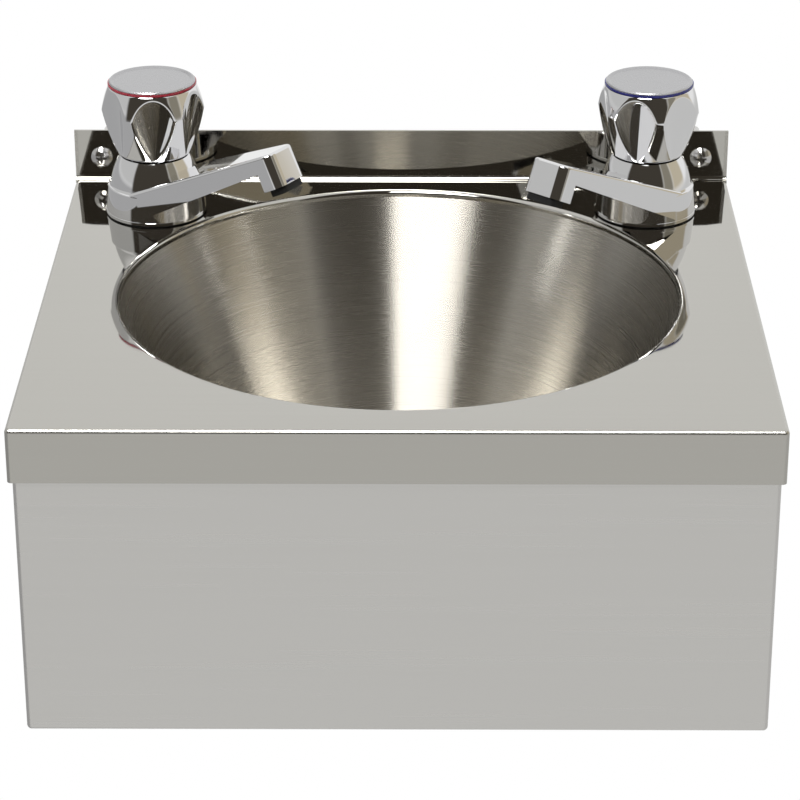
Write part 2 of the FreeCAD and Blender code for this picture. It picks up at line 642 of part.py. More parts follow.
def make_tap_body(name):
    """Chromed brass body: tail, round base, bell, valve chamber and the rising flat-sided spout."""
    body = new_body(name)
    nut_foot = "-sheet - washer_crown_height - nut_thickness"
    bell = outline(body, "XZ_Plane", name + "_bell_outline", [
        ("0", "-tail_length"),
    ] + relieved_thread("tail_radius", "-tail_length", nut_foot) + [
        ("tail_radius", "base_seal_thickness"),
        ("flange_radius", "base_seal_thickness"),
        ("flange_radius", "flange_height"),
        ("bell_foot_radius", "flange_height", "bell_arc", 1),
        ("collar_radius", "collar_height"),
        ("0", "collar_height"),
    ])
    turn(body, bell, name + "_bell")
    spout = outline(body, "XZ_Plane", name + "_spout_side", [
        ("spout_root_reach", "spout_root_under"),
        ("crook_reach", "crook_height"),
        nozzle_point("-nozzle_thickness / 2", "0"),
        nozzle_point("nozzle_thickness / 2", "0"),
        ("spout_tip_reach", "spout_tip_height"),
        ("spout_root_reach", "spout_root_top"),
    ])
    arm = pad(body, spout, name + "_spout", "spout_width", side="Symmetric")

    def root_edge(edge):
        centre = edge.CenterOfMass
        out = math.hypot(centre.x, centre.y)
        on_bell = value("collar_radius * 0.85") < out < value("flange_radius * 1.05")
        above = value("flange_height") < centre.z < value("collar_height")
        return on_bell and above and centre.x > 0

    def nozzle_edge(edge):
        centre = edge.CenterOfMass
        face = centre.x > value("crook_reach + nozzle_thickness / 4")
        return face and centre.z > value("outlet_height + nozzle_thickness / 2")

    def long_edge(edge):
        centre = edge.CenterOfMass
        across = near(abs(centre.y), value("spout_width / 2"))
        shallow = edge.BoundBox.XLength > value("crook_reach") / 2
        return across and shallow

    nozzle = round_edges(body, arm, name + "_nozzle_edges", "nozzle_edge_radius", nozzle_edge)
    eased = round_edges(body, nozzle, name + "_spout_edges", "spout_edge_radius", long_edge)
    round_edges(body, eased, name + "_spout_root", "spout_root_radius", root_edge)
    doc.recompute()
    solid = body.Shape.Volume
    hollow = outline(body, "XZ_Plane", name + "_hollow_outline", [
        ("0", "-tail_length"),
        ("tail_bore", "-tail_length"),
        ("tail_bore", "chamber_floor_height - tail_bore"),
        ("seat_bore", "chamber_floor_height - seat_bore"),
        ("seat_bore", "seat_height"),
        ("seat_radius", "seat_height"),
        ("seat_radius", "chamber_floor_height"),
        ("headwork_thread", "chamber_floor_height"),
        ("headwork_thread", "cup_floor_height"),
        ("cup_radius", "cup_floor_height"),
        ("cup_radius", "collar_height"),
        ("0", "collar_height"),
    ])
    turn(body, hollow, name + "_hollow", kind="PartDesign::Groove")
    doc.recompute()
    if body.Shape.Volume > solid - TINY:
        raise RuntimeError(name + " is not hollow")

    middle = "((spout_root_top + spout_root_under) / 2)"
    end = nozzle_point("0", "-nozzle_bore_depth")
    way = outline(body, "XZ_Plane", name + "_waterway_side", [
        ("spout_root_reach", middle + " - waterway_half"),
        (end[0], end[1] + " - waterway_half"),
        (end[0], end[1] + " + waterway_half"),
        ("spout_root_reach", middle + " + waterway_half"),
    ])
    pocket(body, way, name + "_waterway", "waterway_width", side="Symmetric")
    socket = outline(body, "XZ_Plane", name + "_socket_side", [
        nozzle_point("-nozzle_bore_half", "nozzle_edge_radius"),
        nozzle_point("nozzle_bore_half", "nozzle_edge_radius"),
        nozzle_point("nozzle_bore_half", "-nozzle_bore_depth"),
        nozzle_point("-nozzle_bore_half", "-nozzle_bore_depth"),
    ])
    pocket(body, socket, name + "_socket", "nozzle_bore_width", side="Symmetric")


def make_outlet_insert(name):
    """Black insert pushed up into the nozzle, with its face standing out below the rim."""
    body = new_body(name)
    half = "(nozzle_thickness / 2 - insert_lip)"
    face = outline(body, "XZ_Plane", name + "_face_side", [
        nozzle_point("-" + half, "0"),
        nozzle_point("-" + half, "insert_proud"),
        nozzle_point(half, "insert_proud"),
        nozzle_point(half, "0"),
    ])
    pad(body, face, name + "_face", "spout_width - 2 * insert_lip", side="Symmetric")
    narrow = "(nozzle_bore_half - insert_clearance)"
    plug = outline(body, "XZ_Plane", name + "_plug_side", [
        nozzle_point("-" + narrow, "0"),
        nozzle_point(narrow, "0"),
        nozzle_point(narrow, "-insert_seated"),
        nozzle_point("-" + narrow, "-insert_seated"),
    ])
    pad(body, plug, name + "_plug", "nozzle_bore_width - 2 * insert_clearance", side="Symmetric")
    way = outline(body, "XZ_Plane", name + "_way_side", [
        nozzle_point("-insert_hole", "2 * insert_proud"),
        nozzle_point("insert_hole", "2 * insert_proud"),
        nozzle_point("insert_hole", "-2 * insert_seated"),
        nozzle_point("-insert_hole", "-2 * insert_seated"),
    ])
    pocket(body, way, name + "_way", "nozzle_bore_width / 2", side="Symmetric")


def make_base_seal(name):
    """Thin seal between the tap's base and the deck."""
    turned(name, rectangle("tail_radius + thread_clearance", "base_seal_radius",
                           "0", "base_seal_thickness"))


def make_top_hat_washer(name):
    """Plastic top-hat washer that centres the tail in the thin deck."""
    bore = "tail_radius + thread_clearance"
    low = "-sheet - washer_crown_height"
    turned(name, [
        (bore, low),
        ("washer_crown_radius", low),
        ("washer_crown_radius", "-sheet - washer_brim_thickness"),
        ("washer_brim_radius", "-sheet - washer_brim_thickness"),
        ("washer_brim_radius", "-sheet"),
        (bore, "-sheet"),
    ])


def make_back_nut(name):
    """Hexagon nut that pulls the tap down on the deck."""
    body = new_body(name)
    top = "-sheet - washer_crown_height"
    plan = outline(body, "XY_Plane", name + "_plan", hexagon("nut_flats"), lift=top)
    pad(body, plan, name + "_block", "nut_thickness", reverse=True)
    thread = circles(body, "XY_Plane", name + "_thread",
                     [("0", "0", "tail_radius + thread_clearance")], lift=top)
    pocket(body, thread, name + "_thread_cut", "nut_thickness")


def make_bonnet_washer(name):
    """Fibre washer under the headwork's hexagon."""
    turned(name, rectangle("headwork_thread", "bonnet_flats / 2", "cup_floor_height",
                           "cup_floor_height + bonnet_washer_thickness"))


def make_bonnet(name):
    """Headwork: threaded foot, hexagon, neck, threaded bore and gland chamber."""
    body = turned(name, [
        ("0", "bonnet_foot_height"),
        ("headwork_thread - thread_clearance", "bonnet_foot_height"),
        ("headwork_thread - thread_clearance", "cup_floor_height + bonnet_washer_thickness"),
        ("bonnet_neck_radius", "cup_floor_height + bonnet_washer_thickness"),
        ("bonnet_neck_radius", "bonnet_top_height"),
        ("0", "bonnet_top_height"),
    ])
    seat = "cup_floor_height + bonnet_washer_thickness"
    plan = outline(body, "XY_Plane", name + "_hexagon_plan", hexagon("bonnet_flats"), lift=seat)
    pad(body, plan, name + "_hexagon", "bonnet_hex_height - cup_floor_height"
        " - bonnet_washer_thickness")
    doc.recompute()
    solid = body.Shape.Volume
    bore = outline(body, "XZ_Plane", name + "_bore_outline", [
        ("0", "bonnet_foot_height"),
        ("thread_bore", "bonnet_foot_height"),
        ("thread_bore", "thread_bore_height"),
        ("shaft_radius + running_clearance", "thread_bore_height"),
        ("shaft_radius + running_clearance", "gland_floor_height"),
        ("gland_radius", "gland_floor_height"),
        ("gland_radius", "bonnet_top_height"),
        ("0", "bonnet_top_height"),
    ])
    turn(body, bore, name + "_bore", kind="PartDesign::Groove")
    doc.recompute()
    if body.Shape.Volume > solid - TINY:
        raise RuntimeError(name + " has no bore")


def make_spindle_seal(name):
    """Rubber seal round the spindle in the gland chamber."""
    turned(name, rectangle("shaft_radius + running_clearance", "gland_radius - thread_clearance",
                           "gland_floor_height", "gland_floor_height + gland_seal_height"))


def make_gland_nut(name):
    """Nut that holds the spindle seal down."""
    turned(name, [
        ("shaft_radius + 2 * running_clearance", "gland_floor_height + gland_seal_height"),
        ("gland_radius - thread_clearance", "gland_floor_height + gland_seal_height"),
        ("gland_radius - thread_clearance", "bonnet_top_height"),
        ("gland_head_radius", "bonnet_top_height"),
        ("gland_head_radius", "gland_head_height"),
        ("shaft_radius + 2 * running_clearance", "gland_head_height"),
    ])


def make_spindle(name):
    """Rising spindle: threaded foot with the jumper's bore, plain shaft and splined end."""
    turned(name, [
        ("jumper_bore", "spindle_foot_height"),
        ("thread_bore - running_clearance", "spindle_foot_height"),
        ("thread_bore - running_clearance", "spindle_step_height"),
        ("shaft_radius", "spindle_step_height"),
        ("shaft_radius", "shaft_top_height"),
        ("spline_radius", "shaft_top_height"),
        ("spline_radius", "spline_top_height"),
        ("handle_screw_radius", "spline_top_height"),
        ("handle_screw_radius", "spline_top_height - handle_screw_bore"),
        ("0", "spline_top_height - handle_screw_bore"),
        ("0", "jumper_bore_height"),
        ("jumper_bore", "jumper_bore_height"),
    ])


WASHER_FOOT = "(seat_height + seat_gap)"
PLATE_FOOT = "(seat_height + seat_gap + seat_washer_thickness)"


def make_seat_washer(name):
    """Rubber washer that shuts on the seat."""
    turned(name, rectangle("jumper_peg_radius + thread_clearance", "seat_washer_radius",
                           WASHER_FOOT, PLATE_FOOT))


def make_jumper(name):
    """Jumper: plate over the seat washer, stem in the spindle, peg through the washer."""
    plate_top = PLATE_FOOT + " + jumper_plate_thickness"
    turned(name, [
        ("0", WASHER_FOOT + " - washer_nut_thickness"),
        ("jumper_peg_radius", WASHER_FOOT + " - washer_nut_thickness"),
        ("jumper_peg_radius", PLATE_FOOT),
        ("jumper_plate_radius", PLATE_FOOT),
        ("jumper_plate_radius", plate_top),
        ("jumper_bore - running_clearance", plate_top),
        ("jumper_bore - running_clearance", "jumper_stem_height"),
        ("0", "jumper_stem_height"),
    ])


def make_washer_nut(name):
    """Small nut on the jumper's peg, inside the seat's bore."""
    turned(name, rectangle("jumper_peg_radius + thread_clearance", "washer_nut_radius",
                           WASHER_FOOT + " - washer_nut_thickness", WASHER_FOOT))


HANDLE_WEB = "(spline_top_height + web_over_spindle)"
HANDLE_TOP = "(spline_top_height + web_over_spindle + handle_well_depth)"


def make_handle(name):
    """Chromed barrel handle with scallops, hollow over the headwork, with a well under the disc."""
    body = turned(name, [
        ("handle_hollow_radius", "handle_foot_height"),
        ("handle_foot_radius", "handle_foot_height", "handle_lower_arc", 1),
        ("handle_belly_radius", "handle_belly_height", "handle_upper_arc", 1),
        ("handle_top_radius", HANDLE_TOP),
        ("handle_well_radius", HANDLE_TOP),
        ("handle_well_radius", HANDLE_WEB),
        ("handle_screw_radius + thread_clearance", HANDLE_WEB),
        ("handle_screw_radius + thread_clearance", "spline_top_height"),
        ("spline_radius + thread_clearance", "spline_top_height"),
        ("spline_radius + thread_clearance", "handle_hollow_height"),
        ("handle_hollow_radius", "handle_hollow_height"),
    ])
    doc.recompute()
    before = body.Shape.Volume
    run = "(scallop_top_radius - scallop_foot_radius)"
    rise = "(scallop_top_height - scallop_foot_height)"
    lean = "atan(%s / %s)" % (run, rise)
    cutter = body.newObject("PartDesign::SubtractiveCone", name + "_scallop")
    cutter.MapMode = "Deactivated"
    cutter.Placement = Placement(Vector(0, 0, 0), Rotation(Vector(0, 1, 0), 1))
    cutter.Radius1 = 0
    bind(cutter, "Height", "scallop_overrun * %s * cos(scallop_spread) / cos(%s)" % (rise, lean))
    bind(cutter, "Radius2", "scallop_overrun * %s * sin(scallop_spread) / cos(%s)" % (rise, lean))
    bind(cutter, "Placement.Rotation.Angle", lean + " + scallop_spread * 1 deg")
    bind(cutter, "Placement.Base.x", "scallop_foot_radius")
    bind(cutter, "Placement.Base.z", "scallop_foot_height")
    polar_copies(body, cutter, name + "_scallops", "scallop_count")
    doc.recompute()
    if body.Shape.Volume > before - TINY:
        raise RuntimeError(name + " has no scallops")


def make_handle_screw(name):
    """Screw that clamps the handle on the spindle."""
    turned(name, [
        ("0", "spline_top_height - handle_screw_reach"),
        ("handle_screw_radius - thread_clearance", "spline_top_height - handle_screw_reach"),
        ("handle_screw_radius - thread_clearance", HANDLE_WEB),
        ("handle_screw_head_radius", HANDLE_WEB),
        ("handle_screw_head_radius", HANDLE_WEB + " + handle_screw_head_height"),
        ("0", HANDLE_WEB + " + handle_screw_head_height"),
    ])


def make_index_ring(name):
    """Thin coloured ring between the handle and the top disc."""
    turned(name, rectangle("handle_well_radius", "ring_radius", HANDLE_TOP,
                           HANDLE_TOP + " + ring_thickness"))


def make_index_disc(name):
    """Top disc, slightly hollow inside its raised rim, on a spigot in the handle's well."""
    under = HANDLE_TOP + " + ring_thickness"
    top = under + " + disc_thickness"
    turned(name, [
        ("0", HANDLE_TOP + " - disc_spigot_depth"),
        ("handle_well_radius - spigot_clearance", HANDLE_TOP + " - disc_spigot_depth"),
        ("handle_well_radius - spigot_clearance", under),
        ("disc_radius", under),
        ("disc_radius", top + " - disc_thickness / 2"),
        ("disc_radius - disc_thickness / 2", top),
        ("disc_radius - disc_rim / 2", top),
        ("disc_radius - disc_rim", top + " - disc_dish"),
        ("0", top + " - disc_dish"),
    ])


FIXED_PIECES = [
    ("tap_body", make_tap_body),
    ("outlet_insert", make_outlet_insert),
    ("base_seal", make_base_seal),
    ("top_hat_washer", make_top_hat_washer),
    ("back_nut", make_back_nut),
    ("bonnet_washer", make_bonnet_washer),
    ("bonnet", make_bonnet),
    ("spindle_seal", make_spindle_seal),
    ("gland_nut", make_gland_nut),
    ("jumper", make_jumper),
    ("seat_washer", make_seat_washer),
    ("washer_nut", make_washer_nut),
]
TURNING_PIECES = [
    ("spindle", make_spindle),
    ("handle", make_handle),
    ("handle_screw", make_handle_screw),
    ("index_ring", make_index_ring),
    ("index_disc", make_index_disc),
]
# The hot tap stands on the left with its spout to the right, the cold tap the other way round.
TAPS = [
    ("hot", "-" + TAP_ACROSS, "-hot_spout_turn", "hot_handle_turn - 90"),
    ("cold", TAP_ACROSS, "180 + cold_spout_turn", "cold_handle_turn - 90"),
]


def make_taps():
    """Both taps, piece by piece."""
    for side, across, spout_angle, handle_angle in TAPS:
        for pieces, angle in ((FIXED_PIECES, spout_angle), (TURNING_PIECES, handle_angle)):
            for piece, make in pieces:
                make(side + "_" + piece)
                place(parts[-1], across, TAP_BEHIND + " - " + BOWL_TO_WALL, "-screw_rise", angle)


make_deck()
make_bowl()
make_skirt()
make_wall_screws()
make_waste()
make_taps()
doc.recompute()

for item in doc.Objects:
    if "Invalid" in item.State or "Error" in item.State:
        raise RuntimeError("%s has failed: %s" % (item.Name, item.State))
os.makedirs("parts", exist_ok=True)
for body in parts:
    shape = body.Shape
    if shape.isNull() or not shape.isValid() or not shape.Solids:
        raise RuntimeError(body.Label + " has no sound shape")
for body in parts:
    body.Shape.exportStep("parts/%s.step" % body.Label)
    print("%-22s %2d solids %10.1f mm3" % (body.Label, len(body.Shape.Solids), body.Shape.Volume))
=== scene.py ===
import math

import bmesh
import bpy
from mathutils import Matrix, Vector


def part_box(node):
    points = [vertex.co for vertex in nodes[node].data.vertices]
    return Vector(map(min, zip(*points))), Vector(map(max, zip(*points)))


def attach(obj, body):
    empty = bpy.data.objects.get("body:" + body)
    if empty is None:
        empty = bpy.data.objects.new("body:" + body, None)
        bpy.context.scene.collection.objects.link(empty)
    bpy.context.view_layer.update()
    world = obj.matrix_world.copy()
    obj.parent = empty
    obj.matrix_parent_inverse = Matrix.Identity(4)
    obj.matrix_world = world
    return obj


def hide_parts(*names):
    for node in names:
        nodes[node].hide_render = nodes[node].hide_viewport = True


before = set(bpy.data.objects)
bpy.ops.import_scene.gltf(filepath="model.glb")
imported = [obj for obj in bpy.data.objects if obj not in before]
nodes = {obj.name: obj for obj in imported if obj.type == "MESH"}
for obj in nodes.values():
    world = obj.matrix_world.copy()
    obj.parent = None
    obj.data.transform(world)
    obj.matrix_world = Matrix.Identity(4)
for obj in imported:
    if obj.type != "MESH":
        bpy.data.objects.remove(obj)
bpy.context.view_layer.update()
scene = bpy.context.scene
scene.view_settings.view_transform = "Standard"

# --- Camera -----------------------------------------------------------------------------------
# The sink is seen from the front and above through a long lens, looking down by 25 degrees.
# The camera's place and lens are fitted to the corners of the deck and to the bowl's opening.
camera_data = bpy.data.cameras.new("camera")
camera_data.sensor_width = 36.0
camera_data.lens = 136.95
camera = bpy.data.objects.new("camera", camera_data)
camera.location = (0.0091, -1.3407, 0.4949)
camera.rotation_euler = (math.radians(65.16), math.radians(0.06), math.radians(0.39))
scene.collection.objects.link(camera)
scene.camera = camera


# --- Studio -----------------------------------------------------------------------------------
# A pale room. Polished steel and chrome show what stands round them, so the room has a dark side
# behind the camera with a soft box in it, grey on the left, and a dim and a tan wall on the right.
def add_node(tree, kind, inputs=(), **settings):
    """A shader node with its settings. Each input is a number, a colour, a node or (node, output)."""
    node = tree.nodes.new(kind)
    for key, setting in settings.items():
        setattr(node, key, setting)
    for socket, source in inputs:
        if isinstance(source, bpy.types.Node):
            source = (source, 0)
        if isinstance(source, tuple) and isinstance(source[0], bpy.types.Node):
            tree.links.new(source[0].outputs[source[1]], node.inputs[socket])
        else:
            node.inputs[socket].default_value = source
    return node


def maths(tree, operation, first, second=0.0):
    """A Math node on numbers or on other nodes."""
    return add_node(tree, "ShaderNodeMath", [(0, first), (1, second)], operation=operation)


def ramp(tree, source, low, high, start=0.0, end=1.0):
    """A smooth step from start to end while the source goes from low to high."""
    return add_node(tree, "ShaderNodeMapRange",
                    [(0, source), (1, low), (2, high), (3, start), (4, end)],
                    interpolation_type="SMOOTHSTEP")


world = bpy.data.worlds.new("studio")
scene.world = world
world.use_nodes = True
room = world.node_tree
room.nodes.clear()
axes = add_node(room, "ShaderNodeSeparateXYZ", [(0, add_node(room, "ShaderNodeTexCoord"))])
to_degrees = 180 / math.pi
# Seen from the sink, 0 is towards the camera, and the camera's right is positive.
towards = maths(room, "MULTIPLY", (axes, 1), -1)
around = maths(room, "MULTIPLY", maths(room, "ARCTAN2", (axes, 0), towards), to_degrees)
upward = maths(room, "MULTIPLY", maths(room, "ARCSINE", (axes, 2)), to_degrees)


def panel(under, colour, left, right, low, high, soft):
    """Hangs a panel in the room, between two bearings and two heights in degrees, with a soft edge."""
    amount = 1.0
    for source, edge, start, end in ((around, left, 0.0, 1.0), (around, right, 1.0, 0.0),
                                     (upward, low, 0.0, 1.0), (upward, high, 1.0, 0.0)):
        amount = maths(room, "MULTIPLY", amount, ramp(room, source, edge - soft, edge + soft, start, end))
    return add_node(room, "ShaderNodeMixRGB", [(0, amount), (1, under), (2, (*colour, 1))])


colours = (0.92, 0.92, 0.91, 1)
colours = panel(colours, (0.42, 0.42, 0.42), -155, -38, -95, 4, 4)  # floor on the left
colours = panel(colours, (0.58, 0.58, 0.57), -155, -52, 4, 40, 5)  # wall on the left
colours = panel(colours, (0.72, 0.72, 0.705), -38, 155, -95, -6, 4)  # floor in front
colours = panel(colours, (0.055, 0.048, 0.038), -57, 44, -3, 86, 3.5)  # dark side behind the camera
colours = panel(colours, (0.26, 0.24, 0.19), 44, 72, -3, 40, 5)  # dim wall beside it
colours = panel(colours, (0.62, 0.62, 0.61), 40, 155, -95, -6, 5)  # floor on the right
colours = panel(colours, (0.56, 0.50, 0.38), 72, 112, -3, 50, 5)  # tan wall on the right
colours = panel(colours, (19.0, 19.0, 18.8), -38, 4, 43, 69, 2)  # soft box
seen = add_node(room, "ShaderNodeLightPath")
colours = add_node(room, "ShaderNodeMixRGB", [(0, seen), (1, colours), (2, (1, 1, 1, 1))])
add_node(room, "ShaderNodeOutputWorld", [(0, add_node(room, "ShaderNodeBackground", [(0, colours)]))])

bpy.ops.mesh.primitive_plane_add(size=9, location=(0, 0.5, -0.9))
floor = bpy.context.object
floor.name = "floor"
floor_paint = bpy.data.materials.new("pale_floor")
floor_paint.use_nodes = True
floor_tree = floor_paint.node_tree
floor_tree.nodes.clear()
floor_mix = add_node(floor_tree, "ShaderNodeMixShader", [
    (0, add_node(floor_tree, "ShaderNodeLightPath")),
    (1, add_node(floor_tree, "ShaderNodeBsdfDiffuse", [(0, (0.8, 0.8, 0.8, 1))])),
    (2, add_node(floor_tree, "ShaderNodeEmission", [(0, (1, 1, 1, 1))])),
])
add_node(floor_tree, "ShaderNodeOutputMaterial", [(0, floor_mix)])
floor.data.materials.append(floor_paint)
floor.visible_glossy = False

lamp_data = bpy.data.lights.new("overhead", "AREA")
lamp_data.shape = "RECTANGLE"
lamp_data.size = 1.6
lamp_data.size_y = 1.0
lamp_data.energy = 6
lamp = bpy.data.objects.new("overhead", lamp_data)
lamp.location = (0.1, -0.4, 1.9)
scene.collection.objects.link(lamp)
lamp.visible_glossy = False


# --- Deck -------------------------------------------------------------------------------------
# One sheet of stainless steel, polished on top and satin on the lips that are folded down at the
# front and sides. It turns up along the wall, and its opening is rolled over into a thin bright rim.
def finish(name, colour, roughness, metallic=1.0, grain=(200, 200, 200), bump=0.0, tint=0.05, **own):
    """A material whose roughness, shade and surface vary a little with a fine grain."""
    material = bpy.data.materials.new(name)
    material.use_nodes = True
    tree = material.node_tree
    shader = tree.nodes["Principled BSDF"]
    place = add_node(tree, "ShaderNodeMapping",
                     [(0, (add_node(tree, "ShaderNodeTexCoord"), 3)), (3, grain)])
    noise = add_node(tree, "ShaderNodeTexNoise", [("Vector", place), ("Scale", 1.0), ("Detail", 3.0)])
    low, high = roughness
    tree.links.new(ramp(tree, noise, 0.3, 0.7, low, high).outputs[0], shader.inputs["Roughness"])
    shade = add_node(tree, "ShaderNodeMixRGB", [
        (0, noise),
        (1, (*[channel * (1 - tint) for channel in colour], 1)),
        (2, (*[min(1.0, channel * (1 + tint)) for channel in colour], 1)),
    ])
    tree.links.new(shade.outputs[0], shader.inputs["Base Color"])
    shader.inputs["Metallic"].default_value = metallic
    for socket, amount in own.items():
        shader.inputs[socket.replace("_", " ").title()].default_value = amount
    if bump:
        relief = add_node(tree, "ShaderNodeBump",
                          [("Strength", bump), ("Distance", 0.0002), ("Height", noise)])
        tree.links.new(relief.outputs[0], shader.inputs["Normal"])
    return material


def wear(thing, material):
    """Gives a piece one material all over."""
    thing.data.materials.clear()
    thing.data.materials.append(material)


def only(piece):
    """Makes one piece the only selected one."""
    bpy.ops.object.select_all(action="DESELECT")
    piece.select_set(True)
    bpy.context.view_layer.objects.active = piece


def copied(piece, name):
    """A copy of a piece, with its own mesh."""
    copy = bpy.data.objects.new(name, piece.data.copy())
    scene.collection.objects.link(copy)
    return copy


def smooth(piece, angle):
    """Shades a piece smooth up to an angle."""
    only(piece)
    bpy.ops.object.shade_smooth_by_angle(angle=math.radians(angle))


def smooth_weighted(piece, angle):
    """Shades a piece smooth up to an angle, with its large faces kept flat."""
    smooth(piece, angle)
    bpy.ops.object.modifier_add(type="WEIGHTED_NORMAL")
    piece.modifiers[-1].keep_sharp = True
    bpy.ops.object.modifier_apply(modifier=piece.modifiers[-1].name)


def boolean(piece, cutter, operation):
    """Joins a second closed shape to a piece, or cuts it out of the piece, and throws it away."""
    only(piece)
    bpy.ops.object.modifier_add(type="BOOLEAN")
    piece.modifiers[-1].operation = operation
    piece.modifiers[-1].object = cutter
    bpy.ops.object.modifier_apply(modifier=piece.modifiers[-1].name)
    bpy.data.objects.remove(cutter)


def arc(start, end, radius, parts):
    """Points after start along an arc that turns left, up to its end."""
    (x1, z1), (x2, z2) = start, end
    span = math.hypot(x2 - x1, z2 - z1)
    sink = math.sqrt(radius ** 2 - span ** 2 / 4)
    middle = ((x1 + x2) / 2 - (z2 - z1) / span * sink, (z1 + z2) / 2 + (x2 - x1) / span * sink)
    first = math.atan2(z1 - middle[1], x1 - middle[0])
    swing = 2 * math.asin(span / (2 * radius))
    turns = [first + swing * part / parts for part in range(1, parts + 1)]
    return [(middle[0] + radius * math.cos(turn), middle[1] + radius * math.sin(turn)) for turn in turns]


def turned(name, centre, outline, steps=192):
    """A round piece on an upright axis, drawn ring by ring along its closed outline."""
    bpy.ops.object.select_all(action="DESELECT")
    radius, height = outline[0]
    bpy.ops.mesh.primitive_circle_add(vertices=steps, radius=radius, location=(*centre, height))
    piece = bpy.context.object
    piece.name = name
    bpy.ops.object.transform_apply(location=True, rotation=True, scale=True)
    bpy.ops.object.mode_set(mode="EDIT")
    bpy.ops.mesh.select_all(action="SELECT")
    for wide, tall in outline[1:] + outline[:1]:
        bpy.ops.mesh.extrude_region_move(TRANSFORM_OT_translate={"value": (0, 0, tall - height)})
        bpy.ops.transform.resize(value=(wide / radius, wide / radius, 1), center_override=(*centre, tall))
        radius, height = wide, tall
    bpy.ops.mesh.select_all(action="SELECT")
    bpy.ops.mesh.remove_doubles(threshold=1e-6)
    bpy.ops.mesh.normals_make_consistent(inside=False)
    bpy.ops.object.mode_set(mode="OBJECT")
    return piece


deck_low, deck_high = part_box("deck")
lip_front = deck_low[1] + 0.0025  # where the front fold ends
lip_side = deck_high[0] - 0.0022  # where the side folds end
lip_blend = 0.0010
lip_roughness = 0.27
deck_steel = finish("polished_steel", (0.525, 0.514, 0.482), (0.03, 0.045), grain=(8, 700, 700), tint=0.015)
deck_tree = deck_steel.node_tree
deck_place = add_node(deck_tree, "ShaderNodeTexCoord")
deck_axes = add_node(deck_tree, "ShaderNodeSeparateXYZ", [(0, (deck_place, 3))])
front_lip = ramp(deck_tree, (deck_axes, 1), lip_front, lip_front - lip_blend)
side_lip = ramp(deck_tree, maths(deck_tree, "ABSOLUTE", (deck_axes, 0)), lip_side, lip_side + lip_blend)
on_lip = maths(deck_tree, "MAXIMUM", front_lip, side_lip)
deck_shader = deck_tree.nodes["Principled BSDF"]
polish = deck_shader.inputs["Roughness"].links[0].from_node
satin = add_node(deck_tree, "ShaderNodeMix", [(0, on_lip), (2, polish), (3, lip_roughness)])
deck_tree.links.new(satin.outputs[0], deck_shader.inputs["Roughness"])

deck_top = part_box("hot_base_seal")[0][2]
sheet = 0.0012
bowl_centre = (0.0, -0.136)
rim_inner = 0.1197  # radius of the opening inside the rim
rim_roll = 0.0020  # outside radius of the roll
rim_flat = rim_inner + rim_roll
rim_cut = 0.1232  # radius at which the rim joins the sheet
rim_depth = 0.0030
rim_steps = 256
punch_depth = 0.02
deck_smooth = 25

# The sheet's own opening is cut a little wider, and the rolled rim is spun to fill the gap.
deck_sheet = copied(nodes["deck"], "deck_sheet")
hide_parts("deck")
only(deck_sheet)
bpy.ops.object.mode_set(mode="EDIT")
bpy.ops.mesh.select_all(action="SELECT")
bpy.ops.mesh.remove_doubles(threshold=1e-6)
bpy.ops.object.mode_set(mode="OBJECT")
bpy.ops.mesh.customdata_custom_splitnormals_clear()
smooth_weighted(deck_sheet, deck_smooth)
bpy.ops.mesh.primitive_cylinder_add(vertices=rim_steps, radius=rim_cut, depth=punch_depth,
                                    location=(*bowl_centre, deck_top))
boolean(deck_sheet, bpy.context.object, "DIFFERENCE")
outer_roll = arc((rim_flat, deck_top), (rim_inner, deck_top - rim_roll), rim_roll, 12)
inner_roll = arc((rim_flat, deck_top - sheet), (rim_inner + sheet, deck_top - rim_roll), rim_roll - sheet, 12)
rim_outline = [(rim_cut, deck_top), (rim_flat, deck_top)] + outer_roll
rim_outline += [(rim_inner, deck_top - rim_depth), (rim_inner + sheet, deck_top - rim_depth)]
rim_outline += inner_roll[::-1] + [(rim_flat, deck_top - sheet), (rim_cut, deck_top - sheet)]
rim = turned("deck_rim", bowl_centre, rim_outline, rim_steps)

# The two cut walls that face each other are deleted, and the edges that are left are merged.
for piece in (deck_sheet, rim):
    only(piece)
    bpy.ops.object.mode_set(mode="EDIT")
    bpy.ops.mesh.select_all(action="DESELECT")
    joint = bmesh.from_edit_mesh(piece.data)
    for face in joint.faces:
        radii = [math.dist(corner.co.xy, bowl_centre) for corner in face.verts]
        face.select = all(abs(radius - rim_cut) < 5e-6 for radius in radii)
    bpy.ops.mesh.delete(type="FACE")
    bpy.ops.object.mode_set(mode="OBJECT")
only(deck_sheet)
rim.select_set(True)
bpy.ops.object.join()
bpy.ops.object.mode_set(mode="EDIT")
bpy.ops.mesh.select_all(action="SELECT")
bpy.ops.mesh.remove_doubles(threshold=3e-6)
bpy.ops.object.mode_set(mode="OBJECT")
smooth(deck_sheet, deck_smooth)
wear(deck_sheet, deck_steel)
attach(deck_sheet, "root")

# --- Bowl -------------------------------------------------------------------------------------
# A round stainless bowl, spun from sheet and brushed round its axis, welded under the deck's rim.
# The brushing draws each reflection out into an upright band.
bowl_steel = finish("brushed_steel", (0.425, 0.405, 0.365), (0.26, 0.275), grain=(3, 3, 6000), tint=0.01,
                    anisotropic=1.0, anisotropic_rotation=0.25)
bowl_tree = bowl_steel.node_tree
brushed_round = add_node(bowl_tree, "ShaderNodeTangent", direction_type="RADIAL", axis="Z")
bowl_tree.links.new(brushed_round.outputs[0], bowl_tree.nodes["Principled BSDF"].inputs["Tangent"])
wear(nodes["bowl"], bowl_steel)

